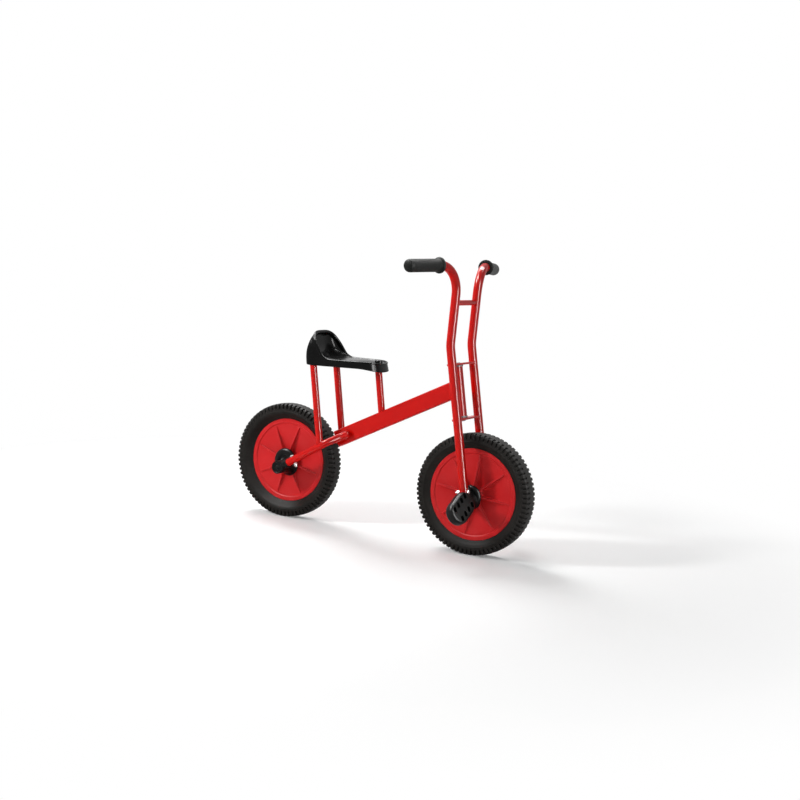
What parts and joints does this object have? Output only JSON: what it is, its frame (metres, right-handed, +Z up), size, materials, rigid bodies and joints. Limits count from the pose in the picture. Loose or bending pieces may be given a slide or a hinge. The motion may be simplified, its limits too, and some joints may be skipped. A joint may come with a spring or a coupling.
{
  "type": "kids bicycle",
  "caption": "Small upright kids bicycle with a slanted beam frame, tall handlebar fork, moulded seat with a low back, disc wheels on wide rubber tyres and slotted foot rests.",
  "frame": {"origin": "the rider's place: middle of the seat's pan, on its top face, in the bicycle's middle plane", "axes": "+X forward, +Y to the rider's left, +Z up; steering straight ahead"},
  "size_m": [0.8959, 0.5354, 0.7641],
  "materials": {
    "red_paint": "glossy powder coat over steel tube",
    "red_plastic": "moulded, satin gloss",
    "black_rubber": "solid rubber, dull sheen",
    "grip_rubber": "smooth soft plastic, some gloss",
    "black_plastic": "moulded, glossy",
    "bush_plastic": "moulded, dull",
    "zinc_steel": "zinc plated"
  },
  "bodies": {
    "frame": {"main_beam": "red_paint", "head_tube": "red_paint", "steering_bush_lower": "bush_plastic", "steering_bush_upper": "bush_plastic", "stay_right": "red_paint", "stay_left": "red_paint", "stay_bolt_right": "zinc_steel", "stay_bolt_left": "zinc_steel", "rear_housing_right": "black_plastic", "rear_housing_left": "black_plastic", "axle_rear": "zinc_steel", "seat_post_rear_right": "red_paint", "seat_post_rear_left": "red_paint", "seat_post_front": "red_paint", "seat_shell": "black_plastic"},
    "fork": {"fork_tube_right": "red_paint", "fork_tube_left": "red_paint", "grip_right": "grip_rubber", "grip_left": "grip_rubber", "fork_bolt_right": "zinc_steel", "fork_bolt_left": "zinc_steel", "front_housing_right": "black_plastic", "front_housing_left": "black_plastic", "foot_rest_right": "black_plastic", "foot_rest_left": "black_plastic", "handlebar_crossbar": "red_paint", "crown_plate_upper": "red_paint", "crown_plate_lower": "red_paint", "steering_pin": "zinc_steel", "axle_front": "zinc_steel"},
    "front_wheel": {"rim_front": "red_plastic", "tyre_front": "black_rubber"},
    "rear_wheel": {"rim_rear": "red_plastic", "tyre_rear": "black_rubber"}
  },
  "joints": [
    {"name": "steering", "type": "hinge", "parent": "frame", "child": "fork", "pos_m": [0.34434, 0, -0.30836], "axis": [-0.1977, 0, 0.9803], "range_deg": [-60, 60]},
    {"name": "front_wheel_spin", "type": "hinge", "parent": "fork", "child": "front_wheel", "pos_m": [0.361, 0, -0.305], "axis": [0, 1, 0], "continuous": true},
    {"name": "rear_wheel_spin", "type": "hinge", "parent": "frame", "child": "rear_wheel", "pos_m": [-0.215, 0, -0.305], "axis": [0, 1, 0], "continuous": true}
  ]
}
